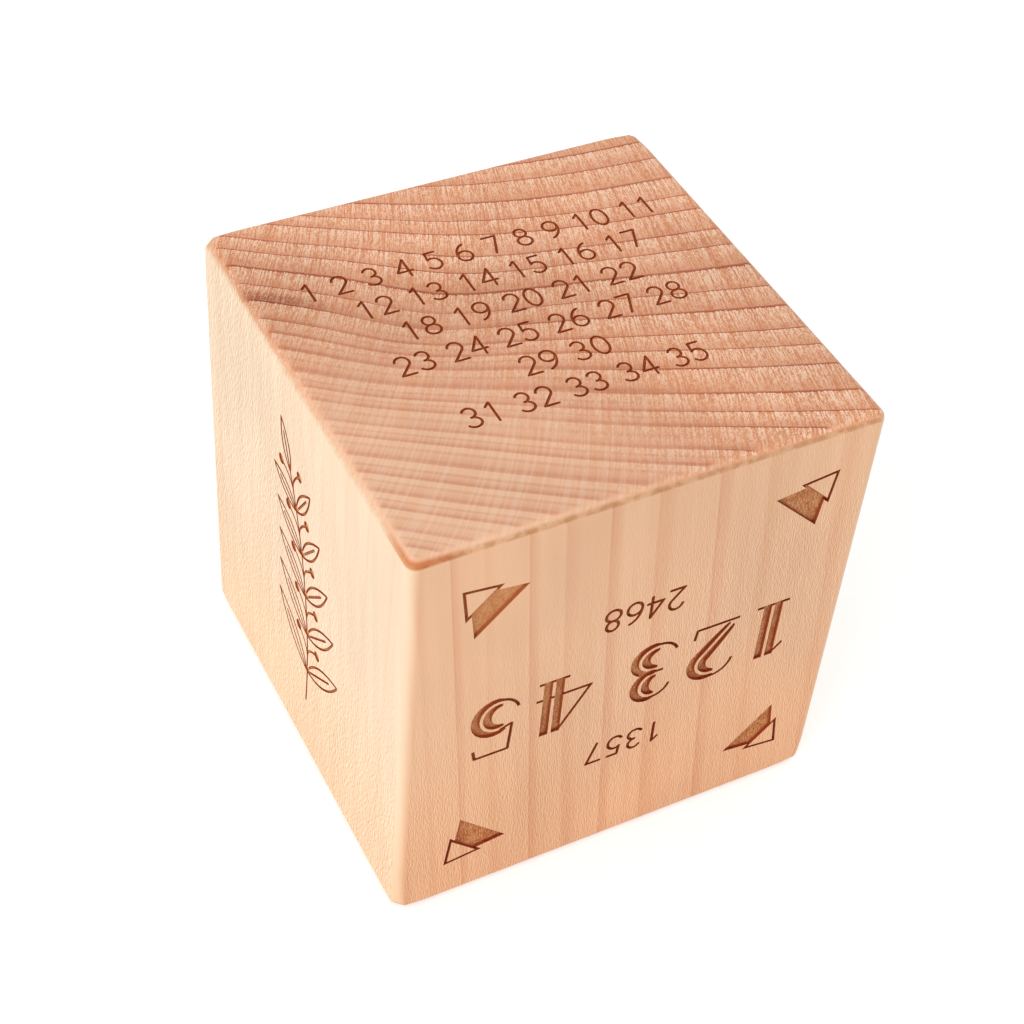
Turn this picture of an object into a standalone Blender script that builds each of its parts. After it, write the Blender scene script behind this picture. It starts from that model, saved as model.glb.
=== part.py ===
"""Wooden keepsake block: one solid piece of maple, sanded edges, engraved corners on the front.

Units are metres and +Z is up. The front face looks along -Y, and the origin is the middle of
the face that the block stands on. The grain runs upright, so the top face shows end grain.
"""

import math

import bmesh
import bpy
from mathutils import Vector

# Block, sawn a little taller than wide
BLOCK_WIDTH = 0.0508
BLOCK_DEPTH = 0.0504
BLOCK_HEIGHT = 0.0536

# Sanding: quarter-round edges, and a small flat left on each of the eight corners
EDGE_RADIUS = 0.0012
CORNER_FLAT = 0.0001
EDGE_SEGMENTS = 4

# Engraving on the front: a filled triangle behind an outlined one in each corner
ENGRAVE_DEPTH = 0.0005
SIDE_MARGIN = 0.0050
END_MARGIN = 0.0058
SHIFT_RIGHT = 0.0004
OUTLINED_LEG = 0.0044
FILLED_LEG = 0.0063
FILLED_SETBACK = 0.0008
LINE_WIDTH = 0.00034
LEG_LEAN = math.radians(7.2)

# How far a cutter stands out of the face that it cuts, and past the ends of a cutter that it trims
CUTTER_OVERRUN = 0.001

MAPLE_COLOUR = (0.78, 0.50, 0.31, 1.0)
MAPLE_ROUGHNESS = 0.55


def clear_scene():
    for item in list(bpy.data.objects):
        bpy.data.objects.remove(item, do_unlink=True)


def new_collection(name):
    collection = bpy.data.collections.new(name)
    bpy.context.scene.collection.children.link(collection)
    return collection


def maple():
    material = bpy.data.materials.new("maple")
    material.use_nodes = True
    shader = material.node_tree.nodes["Principled BSDF"]
    shader.inputs["Base Color"].default_value = MAPLE_COLOUR
    shader.inputs["Roughness"].default_value = MAPLE_ROUGHNESS
    shader.inputs["Metallic"].default_value = 0.0
    return material


def corner_cut():
    """Length of edge that the saw-cut at a corner takes off, before the edges are rounded.

    The rounding eats into the cut face from its three sides, and CORNER_FLAT is the side of
    the triangle that is left of it.
    """
    half_turn = math.acos(1.0 / math.sqrt(3.0)) / 2.0
    eaten = EDGE_RADIUS / math.sqrt(2.0) / math.cos(half_turn)
    cut_face_side = CORNER_FLAT + 2.0 * math.sqrt(3.0) * eaten
    return cut_face_side / math.sqrt(2.0)


def sanded_block(collection):
    """Cube with its corners knocked off and every edge rounded, standing on the origin."""
    mesh = bpy.data.meshes.new("maple_block")
    shape = bmesh.new()
    bmesh.ops.create_cube(shape, size=1.0)
    bmesh.ops.scale(shape, vec=(BLOCK_WIDTH, BLOCK_DEPTH, BLOCK_HEIGHT), verts=shape.verts)
    shape.to_mesh(mesh)
    shape.free()

    block = bpy.data.objects.new("maple_block", mesh)
    block.location = (0.0, 0.0, BLOCK_HEIGHT / 2.0)
    collection.objects.link(block)

    corners = block.modifiers.new("knock off corners", "BEVEL")
    corners.affect = "VERTICES"
    corners.width = corner_cut()
    corners.segments = 1

    edges = block.modifiers.new("round edges", "BEVEL")
    edges.offset_type = "WIDTH"
    edges.width = EDGE_RADIUS * math.sqrt(2.0)
    edges.segments = EDGE_SEGMENTS
    edges.limit_method = "ANGLE"
    edges.angle_limit = math.radians(30.0)
    return block


def triangle(apex, leg):
    """Two equal legs from an apex near the face's corner, each leaning in from the side it follows."""
    along = leg * math.cos(LEG_LEAN)
    inward = leg * math.sin(LEG_LEAN)
    return [apex, apex + Vector((along, inward)), apex + Vector((inward, along))]


def inset(points, distance):
    """The same triangle with its three sides moved in by a distance."""
    sides = [(points[i] - points[i - 1]).length for i in range(3)]
    opposite = [sides[(i + 2) % 3] for i in range(3)]
    perimeter = sum(sides)
    centre = sum((p * side for p, side in zip(points, opposite)), Vector((0.0, 0.0))) / perimeter
    area = abs((points[1] - points[0]).cross(points[2] - points[0])) / 2.0
    inscribed_radius = 2.0 * area / perimeter
    return [centre + (p - centre) * (1.0 - distance / inscribed_radius) for p in points]


def prism(name, outline, depth, overrun, collection):
    """Cutter with a flat outline, from an overrun in front of the front face to a depth inside."""
    curve = bpy.data.curves.new(name, "CURVE")
    curve.dimensions = "2D"
    curve.fill_mode = "BOTH"
    curve.extrude = (depth + overrun) / 2.0
    spline = curve.splines.new("POLY")
    spline.points.add(len(outline) - 1)
    for point, (x, z) in zip(spline.points, outline):
        point.co = (x, z, 0.0, 1.0)
    spline.use_cyclic_u = True

    drawn = bpy.data.objects.new(name, curve)
    collection.objects.link(drawn)
    middle = (depth - overrun) / 2.0
    drawn.location = (0.0, -BLOCK_DEPTH / 2.0 + middle, 0.0)
    drawn.rotation_euler = (math.pi / 2.0, 0.0, 0.0)
    bpy.context.view_layer.update()

    evaluated = drawn.evaluated_get(bpy.context.evaluated_depsgraph_get())
    mesh = bpy.data.meshes.new_from_object(evaluated)
    shape = bmesh.new()
    shape.from_mesh(mesh)
    bmesh.ops.remove_doubles(shape, verts=shape.verts, dist=1e-6)
    bmesh.ops.recalc_face_normals(shape, faces=shape.faces)
    shape.to_mesh(mesh)
    shape.free()

    cutter = bpy.data.objects.new(name, mesh)
    cutter.matrix_world = drawn.matrix_world.copy()
    cutter.hide_render = True
    cutter.display_type = "WIRE"
    collection.objects.link(cutter)
    bpy.data.objects.remove(drawn, do_unlink=True)
    bpy.data.curves.remove(curve)
    return cutter


def add_boolean(target, operation, other):
    modifier = target.modifiers.new(f"{operation.lower()} {other.name}", "BOOLEAN")
    modifier.operation = operation
    modifier.solver = "EXACT"
    modifier.object = other


def corner_ornament(side, end, collection):
    """Cutter for one corner: side is -1 left or 1 right, end is -1 bottom or 1 top.

    The outlined triangle is a groove round an island that keeps the face's level, and the
    filled triangle is the pocket that shows from behind it.
    """
    corner = Vector((BLOCK_WIDTH / 2.0 - SIDE_MARGIN, BLOCK_HEIGHT / 2.0 - END_MARGIN))

    def on_face(points):
        return [
            (side * (corner.x - p.x) + SHIFT_RIGHT, BLOCK_HEIGHT / 2.0 + end * (corner.y - p.y))
            for p in points
        ]

    outlined = triangle(Vector((0.0, 0.0)), OUTLINED_LEG)
    filled = triangle(Vector((FILLED_SETBACK, FILLED_SETBACK)), FILLED_LEG)
    island = inset(outlined, LINE_WIDTH)

    place = f"{'left' if side < 0 else 'right'}_{'bottom' if end < 0 else 'top'}"
    deep = ENGRAVE_DEPTH
    proud = CUTTER_OVERRUN
    ornament = prism(f"ornament_{place}", on_face(filled), deep, proud, collection)
    groove = prism(f"groove_{place}", on_face(outlined), deep, proud, collection)
    kept = prism(f"island_{place}", on_face(island), deep + proud, 2.0 * proud, collection)
    add_boolean(ornament, "UNION", groove)
    add_boolean(ornament, "DIFFERENCE", kept)
    return ornament


def main():
    clear_scene()
    parts = new_collection("wooden_keepsake_block")
    cutters = new_collection("cutters")
    block = sanded_block(parts)
    block.data.materials.append(maple())
    for side in (-1, 1):
        for end in (-1, 1):
            add_boolean(block, "DIFFERENCE", corner_ornament(side, end, cutters))


main()
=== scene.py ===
# %% [markdown]
# # A wooden keepsake block
#
# This lesson dresses one solid maple block. The real one is sawn from a single board, sanded until
# every edge is soft, and marked with a laser. The work goes in the order of the workshop: the block,
# the drawing of each engraved face, the cutting of it, the wood itself, and at last light and camera.

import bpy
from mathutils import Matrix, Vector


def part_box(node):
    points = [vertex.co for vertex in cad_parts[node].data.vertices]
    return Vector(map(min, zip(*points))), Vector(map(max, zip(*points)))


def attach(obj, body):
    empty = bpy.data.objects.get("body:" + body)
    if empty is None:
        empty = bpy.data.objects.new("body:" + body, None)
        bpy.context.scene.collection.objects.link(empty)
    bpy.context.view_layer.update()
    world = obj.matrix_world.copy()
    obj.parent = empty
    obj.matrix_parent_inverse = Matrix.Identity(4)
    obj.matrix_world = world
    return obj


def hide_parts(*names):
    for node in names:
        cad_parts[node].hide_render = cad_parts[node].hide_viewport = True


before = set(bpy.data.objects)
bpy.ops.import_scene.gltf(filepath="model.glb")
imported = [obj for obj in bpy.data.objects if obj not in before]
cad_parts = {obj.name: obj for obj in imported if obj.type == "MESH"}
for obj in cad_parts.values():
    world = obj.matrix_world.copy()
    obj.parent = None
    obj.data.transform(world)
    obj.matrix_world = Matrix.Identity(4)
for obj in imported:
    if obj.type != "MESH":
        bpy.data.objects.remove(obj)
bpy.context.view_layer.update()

# %% [markdown]
# ## Sizes
#
# The frame holds the block at its real size, standing on the origin with its front looking along -Y.
# Everything below is worked out from its box. Drawing on wood is easier in millimetres, so faces are
# laid out in millimetres and turned into metres once, when the mesh is made.

# %% Read the block's size
import math

import bmesh
import bpy
from mathutils import Matrix, Vector
from mathutils.geometry import delaunay_2d_cdt

MM = 0.001
block_low, block_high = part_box("maple_block")
width, depth, height = (block_high - block_low) / MM
block_middle = (block_low + block_high) / 2.0
print(f"block {width:.1f} x {depth:.1f} x {height:.1f} mm")

# %% [markdown]
# ## The sanded block
#
# Sandpaper takes two things off a sawn cube: a quarter round along each edge and a little more at the
# corners, where three edges meet. A bevel gives every edge its quarter round and every corner an
# eighth of a ball. The edges are split near their ends first, so the bevel leaves extra rings of
# points there. These are then pushed in, most at the corner and less along the edges. Each corner has
# its own amount, because no two corners of a hand-sanded block are alike.

# %% Round the edges and ease the corners
EDGE_RADIUS = 1.2
EDGE_SEGMENTS = 12
EASE_REACH = 4.5
EASE_STATIONS = (1.9, 2.7, 3.6, 4.5)
CORNER_EASE = {
    (-1, -1, 1): 0.04, (1, -1, 1): 0.0, (1, 1, 1): 0.32, (-1, 1, 1): 0.20,
    (-1, -1, -1): 0.32, (1, -1, -1): 0.30, (1, 1, -1): 0.25, (-1, 1, -1): 0.22,
}
half_size = Vector((width, depth, height)) / 2.0


def split_edges(shape):
    for edge in shape.edges[:]:
        length = edge.calc_length()
        start, rest = edge.verts[0], edge
        done = 0.0
        for station in EASE_STATIONS + tuple(length - s for s in reversed(EASE_STATIONS)):
            rest, start = bmesh.utils.edge_split(rest, start, (station - done) / (length - done))
            rest = next(e for e in start.link_edges if e is not rest)
            done = station


def eased(point):
    """How far a point of the rounding gives way to the sandpaper."""
    corner = tuple(1 if c > 0.0 else -1 for c in point)
    from_faces = [h - abs(c) for c, h in zip(point, half_size)]
    away = Vector([max(EDGE_RADIUS - d, 0.0) / EDGE_RADIUS for d in from_faces])
    near = [max(1.0 - d / EASE_REACH, 0.0) ** 2 for d in from_faces]
    pairs = away.x * away.y * near[2] + away.y * away.z * near[0] + away.z * away.x * near[1]
    inward = Vector([-sign * a for sign, a in zip(corner, away)])
    return inward * (2.0 * pairs * CORNER_EASE[corner])


def sanded_block():
    shape = bmesh.new()
    bmesh.ops.create_cube(shape, size=1.0)
    bmesh.ops.scale(shape, vec=(width, depth, height), verts=shape.verts)
    split_edges(shape)
    bmesh.ops.bevel(
        shape, geom=shape.edges[:], affect="EDGES", offset=EDGE_RADIUS, segments=EDGE_SEGMENTS, profile=0.5,
    )
    for point in shape.verts:
        point.co += eased(point.co)
    bmesh.ops.translate(shape, vec=(0.0, 0.0, height / 2.0), verts=shape.verts)
    return shape


block_shape = sanded_block()
print("sanded block has", len(block_shape.faces), "faces")

# %% [markdown]
# ## Drawing with strokes
#
# A laser burns a groove with a flat floor and steep sides. Each mark is therefore drawn twice: as the
# rim of the groove on the face, and as its floor, a hair smaller. Later one triangulation turns all
# rims and floors of a face into a mesh, so marks may cross freely. A mark here is a pair of outlines.

# %% Lines with round ends
WALL_RUN = 0.05
CAP_STEPS = 7


def arc(centre_x, centre_y, radius_x, radius_y, start, end, steps=14):
    angles = [math.radians(start + (end - start) * i / steps) for i in range(steps + 1)]
    return [Vector((centre_x + radius_x * math.cos(a), centre_y + radius_y * math.sin(a))) for a in angles]


def line(*points):
    return [Vector(p) for p in points]


def sideways(path, i):
    ahead = path[min(i + 1, len(path) - 1)] - path[max(i - 1, 0)]
    return Vector((-ahead.y, ahead.x)).normalized()


def round_end(centre, side):
    turns = [Matrix.Rotation(math.pi * k / CAP_STEPS, 2) for k in range(1, CAP_STEPS)]
    return [centre + turn @ side for turn in turns]


def round_line(path, half_width):
    last = len(path) - 1
    right = [p - sideways(path, i) * half_width for i, p in enumerate(path)]
    left = [p + sideways(path, i) * half_width for i, p in enumerate(path)]
    far_end = round_end(path[last], -sideways(path, last) * half_width)
    near_end = round_end(path[0], sideways(path, 0) * half_width)
    return right + far_end + left[::-1] + near_end


def thin_mark(path, line_width):
    return round_line(path, line_width / 2.0), round_line(path, line_width / 2.0 - WALL_RUN)


print("a straight mark has", len(thin_mark(line((0, 0), (1, 0)), 0.4)[0]), "rim points")

# %% [markdown]
# Pockets with straight sides need no stroke: the floor is the same polygon with each side moved in.
# A broad stem is a ribbon along a path. Each broad stem of a large numeral is split by a thin ridge
# left standing down its middle, so it is drawn as two ribbons side by side.

# %% Pockets and ribbons


def inset(polygon, distance):
    """A convex outline, drawn anticlockwise, with every side moved in."""
    moved = []
    for i, here in enumerate(polygon):
        before = (here - polygon[i - 1]).normalized()
        after = (polygon[(i + 1) % len(polygon)] - here).normalized()
        bisector = (after - before).normalized() if (after - before).length > 1e-6 else None
        inward = Vector((-after.y, after.x))
        if bisector is None:
            moved.append(here + inward * distance)
        else:
            moved.append(here + bisector * (distance / bisector.dot(inward)))
    return moved


def pocket(polygon):
    return polygon, inset(polygon, WALL_RUN)


def ribbon(path, lower, upper, trim=0.0):
    """Band beside a path, between two offsets that may change along it."""
    last = len(path) - 1
    shares = [i / last for i in range(last + 1)]
    ends = [Vector((0.0, 0.0)) for _ in path]
    ends[0] = (path[1] - path[0]).normalized() * trim
    ends[last] = (path[last - 1] - path[last]).normalized() * trim
    low_side = [p + e + sideways(path, i) * (lower(shares[i]) + trim)
                for i, (p, e) in enumerate(zip(path, ends))]
    high_side = [p + e + sideways(path, i) * (upper(shares[i]) - trim)
                 for i, (p, e) in enumerate(zip(path, ends))]
    return low_side + high_side[::-1]


def band_mark(path, lower, upper):
    return ribbon(path, lower, upper), ribbon(path, lower, upper, WALL_RUN)


print("marks can be thin lines, pockets and bands")

# %% [markdown]
# ## Plain numerals
#
# The small numerals are monoline: circles and straight strokes of one width, as a signwriter's
# template has them. Each is a few smooth paths in a box one unit high, and round ends make the joints.

# %% Thin numerals
SIX = [arc(0.30, 0.30, 0.28, 0.28, 0, 180), arc(0.30, 0.30, 0.28, 0.28, 180, 360),
       arc(0.55, 0.30, 0.53, 0.68, 180, 102)]
THIN_NUMERALS = {
    "0": [arc(0.31, 0.50, 0.29, 0.48, 90, 270), arc(0.31, 0.50, 0.29, 0.48, -90, 90)],
    "1": [line((0.14, 0.80), (0.34, 0.98)), line((0.34, 0.98), (0.34, 0.02))],
    "2": [arc(0.30, 0.70, 0.27, 0.28, 165, -38), line((0.513, 0.528), (0.04, 0.02)),
          line((0.04, 0.02), (0.58, 0.02))],
    "3": [arc(0.28, 0.74, 0.24, 0.24, 150, -90), arc(0.28, 0.26, 0.28, 0.24, 90, -150)],
    "4": [line((0.46, 0.02), (0.46, 0.98)), line((0.46, 0.98), (0.02, 0.30)),
          line((0.02, 0.30), (0.62, 0.30))],
    "5": [line((0.52, 0.98), (0.14, 0.98)), line((0.14, 0.98), (0.10, 0.56)),
          arc(0.27, 0.33, 0.29, 0.31, 126, -145)],
    "6": SIX,
    "7": [line((0.03, 0.98), (0.57, 0.98)), line((0.57, 0.98), (0.22, 0.02))],
    "8": [arc(0.30, 0.75, 0.23, 0.23, 0, 180), arc(0.30, 0.75, 0.23, 0.23, 180, 360),
          arc(0.30, 0.27, 0.28, 0.25, 0, 180), arc(0.30, 0.27, 0.28, 0.25, 180, 360)],
    "9": [[Vector((0.60, 1.0)) - p for p in path] for path in SIX],
}
NUMERAL_WIDTH = 0.60


def thin_numeral(digit, place, size, line_width, squeeze=1.0):
    marks = []
    for path in THIN_NUMERALS[digit]:
        laid = [place + Vector((p.x * size * squeeze, p.y * size)) for p in path]
        marks.append(thin_mark(laid, line_width))
    return marks


def number_row(numbers, middle, size, line_width, digit_gap, number_gap, squeeze=1.0):
    """A row of numbers centred on a point of the face, its baseline half a numeral below."""
    step = NUMERAL_WIDTH * size * squeeze
    spans = [len(n) * step + (len(n) - 1) * digit_gap for n in numbers]
    x = middle.x - (sum(spans) + (len(numbers) - 1) * number_gap) / 2.0
    marks = []
    for number, span in zip(numbers, spans):
        for i, digit in enumerate(number):
            place = Vector((x + i * (step + digit_gap), middle.y - size / 2.0))
            marks += thin_numeral(digit, place, size, line_width, squeeze)
        x += span + number_gap
    return marks


print("numerals drawn:", "".join(THIN_NUMERALS))

# %% [markdown]
# The large numerals in the middle of the front have contrast: hairlines, and broad stems split by a
# ridge. A bowed stem swells along its path, so the two ribbons beside the ridge start and end thin. The
# table gives each numeral its width, the way its stems swell, the stems, and then the hairlines.

# %% Broad numerals with a ridge in the stems
RIDGE = 0.042
HAIRLINE = 0.042
STEM = 0.27


def even(_share):
    return 1.0


def swelling(share):
    return math.sin(math.pi * min(max(share, 0.0), 1.0)) ** 0.7


def split_stem(path, swell):
    def outer_edge(share):
        return RIDGE / 2.0 + HAIRLINE + (STEM / 2.0 - RIDGE / 2.0 - HAIRLINE) * swell(share)

    right = (path, lambda share: -outer_edge(share), lambda share: -RIDGE / 2.0)
    left = (path, lambda share: RIDGE / 2.0, outer_edge)
    return [right, left]


def hairline(path):
    return path, lambda share: -HAIRLINE / 2.0, lambda share: HAIRLINE / 2.0


def diagonal_two():
    bowl = arc(0.30, 0.70, 0.24, 0.22, 95, -32, steps=16)
    foot = Vector((0.12, 0.10))
    run = [bowl[-1].lerp(foot, i / 8.0) for i in range(1, 9)]
    return bowl + run


BROAD_NUMERALS = {
    "1": (0.50, even, [line((0.27, 0.02), (0.27, 0.98))],
          [line((0.02, 0.80), (0.16, 0.95)), line((0.04, 0.02), (0.50, 0.02))]),
    "2": (0.64, swelling, [diagonal_two()],
          [arc(0.30, 0.70, 0.27, 0.28, 170, 85), line((0.02, 0.03), (0.62, 0.03)),
           line((0.61, 0.02), (0.63, 0.20))]),
    "3": (0.60, swelling, [arc(0.27, 0.745, 0.19, 0.20, 95, -95), arc(0.27, 0.265, 0.23, 0.20, 95, -95)],
          [arc(0.27, 0.745, 0.23, 0.235, 165, 80), line((0.16, 0.51), (0.31, 0.51)),
           arc(0.27, 0.265, 0.27, 0.24, -80, -165)]),
    "4": (0.74, even, [line((0.52, 0.02), (0.52, 0.98))],
          [line((0.42, 0.98), (0.02, 0.31)), line((0.0, 0.31), (0.74, 0.31)),
           line((0.32, 0.02), (0.72, 0.02))]),
    "5": (0.60, swelling, [arc(0.27, 0.31, 0.22, 0.24, 115, -105)],
          [line((0.10, 0.97), (0.55, 0.97)), line((0.54, 0.98), (0.57, 0.82)),
           line((0.11, 0.98), (0.08, 0.50)), line((0.08, 0.51), (0.24, 0.57)),
           arc(0.27, 0.31, 0.27, 0.28, -80, -165)]),
}


def broad_numeral(digit, place, size):
    _, swell, stems, hairlines = BROAD_NUMERALS[digit]
    bands = [band for path in stems for band in split_stem(path, swell)]
    bands += [hairline(path) for path in hairlines]
    marks = []
    for path, lower, upper in bands:
        laid = [place + p * size for p in path]
        marks.append(band_mark(laid, lambda s, f=lower: f(s) * size, lambda s, f=upper: f(s) * size))
    return marks


print("broad numerals:", "".join(BROAD_NUMERALS))

# %% [markdown]
# ## The front
#
# In each corner of the front a filled triangle peeps out from behind an outlined one. The outlined
# triangle is a groove round an island of bare wood, made of three mitred pockets. The filled one is a
# pocket that starts at the island's long side. Mirroring one corner gives the other three.

# %% Corner triangles
SIDE_MARGIN = 5.0
END_MARGIN = 5.8
SHIFT_RIGHT = 0.4
OUTLINED_LEG = 4.4
FILLED_LEG = 6.3
FILLED_SETBACK = 0.8
OUTLINE_WIDTH = 0.34
LEG_LEAN = math.radians(7.2)


def corner_triangle(apex, leg):
    along = leg * math.cos(LEG_LEAN)
    inward = leg * math.sin(LEG_LEAN)
    return [apex, apex + Vector((along, inward)), apex + Vector((inward, along))]


def meeting(a, b, c, d):
    """Where the line through a and b meets the line through c and d."""
    first, second = b - a, d - c
    share = (c - a).cross(second) / first.cross(second)
    return a + first * share


def corner_ornament(side, end):
    outlined = corner_triangle(Vector((0.0, 0.0)), OUTLINED_LEG)
    island = inset(outlined, OUTLINE_WIDTH)
    filled = corner_triangle(Vector((FILLED_SETBACK, FILLED_SETBACK)), FILLED_LEG)
    pieces = [[outlined[i], outlined[(i + 1) % 3], island[(i + 1) % 3], island[i]] for i in range(3)]
    on_long_side = [meeting(filled[0], corner, island[1], island[2]) for corner in filled[1:]]
    pieces.append([on_long_side[0], filled[1], filled[2], on_long_side[1]])
    corner = Vector((width / 2.0 - SIDE_MARGIN, height / 2.0 - END_MARGIN))
    marks = []
    for piece in pieces:
        laid = [Vector((side * (corner.x - p.x) + SHIFT_RIGHT, end * (corner.y - p.y))) for p in piece]
        marks.append(pocket(laid if side * end > 0 else laid[::-1]))
    return marks


front_marks = [m for side in (-1, 1) for end in (-1, 1) for m in corner_ornament(side, end)]
print("corner triangles make", len(front_marks), "pockets")

# %% [markdown]
# Three rows of numerals stand between the triangles: a broad one, and a thin one on either side of it.
# The front was engraved upside down, so the rows are laid out upright, where they are easy to read, and
# then given half a turn about the middle of the broad row.

# %% Rows of numerals, engraved upside down
BROAD_SIZE = 8.5
BROAD_MIDDLE = Vector((0.4, -0.6))
BROAD_GAP = 1.9
GROUP_GAP = 4.6
SMALL_SIZE = 3.1
SMALL_LINE = 0.36
SMALL_SQUEEZE = 0.95
SMALL_DIGIT_GAP = 0.62
ROW_RISE = 10.3


def broad_row(groups, middle):
    sizes = [[BROAD_NUMERALS[d][0] * BROAD_SIZE for d in group] for group in groups]
    inner = sum(sum(s) + (len(s) - 1) * BROAD_GAP for s in sizes)
    x = middle.x - (inner + (len(groups) - 1) * GROUP_GAP) / 2.0
    marks = []
    for group, spans in zip(groups, sizes):
        for digit, span in zip(group, spans):
            marks += broad_numeral(digit, Vector((x, middle.y - BROAD_SIZE / 2.0)), BROAD_SIZE)
            x += span + BROAD_GAP
        x += GROUP_GAP - BROAD_GAP
    return marks


def half_turn(marks, middle):
    return [tuple([middle * 2.0 - p for p in outline] for outline in mark) for mark in marks]


rows = broad_row(["123", "45"], BROAD_MIDDLE)
for numbers, rise in ((["1357"], ROW_RISE), (["2468"], -ROW_RISE)):
    middle = BROAD_MIDDLE + Vector((0.0, rise))
    rows += number_row(numbers, middle, SMALL_SIZE, SMALL_LINE, SMALL_DIGIT_GAP, 0.0, SMALL_SQUEEZE)
front_marks += half_turn(rows, BROAD_MIDDLE)
print("front has", len(front_marks), "marks")

# %% [markdown]
# ## The top
#
# Six centred rows of thin numerals count across the end grain, row after row, like the face of a
# counting block. A loop takes the next numbers of the count for each row and centres them.

# %% Six rows of counting numbers
TOP_ROWS = (11, 6, 5, 6, 2, 5)
TOP_NUMERAL = 2.75
TOP_LINE = 0.29
TOP_DIGIT_GAP = 0.55
TOP_NUMBER_GAP = 1.75
TOP_FIRST_ROW = 12.4
TOP_ROW_STEP = 4.52
TOP_SHIFT_RIGHT = 0.3

top_marks = []
count = 1
for row, how_many in enumerate(TOP_ROWS):
    numbers = [str(n) for n in range(count, count + how_many)]
    count += how_many
    middle = Vector((TOP_SHIFT_RIGHT, TOP_FIRST_ROW - row * TOP_ROW_STEP))
    top_marks += number_row(numbers, middle, TOP_NUMERAL, TOP_LINE, TOP_DIGIT_GAP, TOP_NUMBER_GAP)
print("top counts to", count - 1, "with", len(top_marks), "marks")

# %% [markdown]
# ## The left face
#
# The left face has a small line drawing: a sprig whose leaves grow in pairs along a bent stem, with
# berries between them. A leaf is two bowed lines and a rib, so one function draws all of them. The stem
# is a row of points, and each pair of leaves starts a few points above the last and is a little smaller.

# %% A leafy sprig
SPRIG_LINE = 0.31
STEM_FOOT = Vector((1.5, -17.5))
STEM_TIP = Vector((-2.0, 14.0))
STEM_BEND = Vector((3.5, 0.0))
STEM_STEPS = 40
LEAF_PAIRS = 5
FIRST_LEAF = 6
LEAF_STEP = 7
LEAF_LENGTH = 9.6
LEAF_BREADTH = 2.3
LEAF_SPREAD = math.radians(52.0)
LENGTH_LOST = 0.9
BREADTH_LOST = 0.15
TIP_LEAF = (6.0, 1.7)
BELLY = 0.42
RIB_SHARE = 0.72
BERRY_RADIUS = 0.62
BERRY_STEPS = 23
STALK_LENGTH = 3.6
STALK_SPREAD = 0.8


def bowed(start, control, end, steps=12):
    shares = [i / steps for i in range(steps + 1)]
    return [start.lerp(control, s).lerp(control.lerp(end, s), s) for s in shares]


def leaf(foot, direction, length, breadth):
    tip = foot + direction * length
    bulge = Vector((-direction.y, direction.x)) * breadth
    belly = foot.lerp(tip, BELLY)
    sides = [bowed(foot, belly + bulge * way, tip) for way in (1.0, -1.0)]
    rib = line(foot, foot.lerp(tip, RIB_SHARE))
    return [thin_mark(path, SPRIG_LINE) for path in sides + [rib]]


def berry(centre):
    """A round pocket. The last point stops one step short, because an outline closes by itself."""
    radii = (BERRY_RADIUS, BERRY_RADIUS - WALL_RUN)
    return tuple(arc(centre.x, centre.y, r, r, 0, 345, BERRY_STEPS) for r in radii)


def sprig():
    stem = bowed(STEM_FOOT, STEM_BEND, STEM_TIP, STEM_STEPS)
    marks = [thin_mark(stem, SPRIG_LINE)]
    for pair in range(LEAF_PAIRS):
        at = FIRST_LEAF + pair * LEAF_STEP
        forward = (stem[at + 1] - stem[at]).normalized()
        length = LEAF_LENGTH - LENGTH_LOST * pair
        breadth = LEAF_BREADTH - BREADTH_LOST * pair
        for way in (1, -1):
            direction = Matrix.Rotation(way * LEAF_SPREAD, 2) @ forward
            marks += leaf(stem[at], direction, length, breadth)
            stalk_way = Matrix.Rotation(way * LEAF_SPREAD * STALK_SPREAD, 2) @ forward
            stalk_end = stem[at + 3] + stalk_way * STALK_LENGTH
            marks.append(thin_mark(bowed(stem[at + 3], stem[at + 5], stalk_end, 6), SPRIG_LINE))
            marks.append(berry(stalk_end))
    marks += leaf(stem[-1], (stem[-1] - stem[-2]).normalized(), *TIP_LEAF)
    return marks


left_marks = sprig()
print("sprig has", len(left_marks), "marks")

# %% [markdown]
# ## Six sides
#
# Each side of the block gets a small frame of its own: which way it looks, and which ways are right
# and up on it for someone standing in front of it. The same frames carry the engraving onto the block
# and lay the sides out on a flat map. The three engraved sides get a quarter of that map each, and the
# three bare ones share the last quarter.

# %% Name the sides
SIDES = {
    "front": ((0, -1, 0), (1, 0, 0), (0, 0, 1), (0.00, 0.50), 0.50),
    "top": ((0, 0, 1), (1, 0, 0), (0, 1, 0), (0.50, 0.50), 0.50),
    "left": ((-1, 0, 0), (0, -1, 0), (0, 0, 1), (0.00, 0.00), 0.50),
    "back": ((0, 1, 0), (-1, 0, 0), (0, 0, 1), (0.50, 0.25), 0.25),
    "right": ((1, 0, 0), (0, 1, 0), (0, 0, 1), (0.75, 0.25), 0.25),
    "base": ((0, 0, -1), (1, 0, 0), (0, -1, 0), (0.50, 0.00), 0.25),
}
SIDES = {name: [Vector(v) for v in side[:4]] + [side[4]] for name, side in SIDES.items()}
SIDE_NAMES = list(SIDES)
heart = Vector((0.0, 0.0, height / 2.0))


def middle_of(side):
    outward = SIDES[side][0]
    return heart + Vector([o * h for o, h in zip(outward, half_size)])


for side in SIDE_NAMES:
    print(side, "middle at", tuple(round(c, 1) for c in middle_of(side)))

# %% [markdown]
# ## Cutting the faces
#
# A Boolean with hundreds of little cutters is slow and leaves odd slivers. The faces are flat, so the
# cutting is done in the plane instead. One constrained triangulation takes the face's border and all
# outlines, and says for every triangle which outlines it lies in: a floor, the narrow strip between rim
# and floor that becomes a wall, or bare wood.

# %% Triangulate a face
NEAR = 1e-5
BARE, FLOOR, WALL = 0, 1, 2


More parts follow.
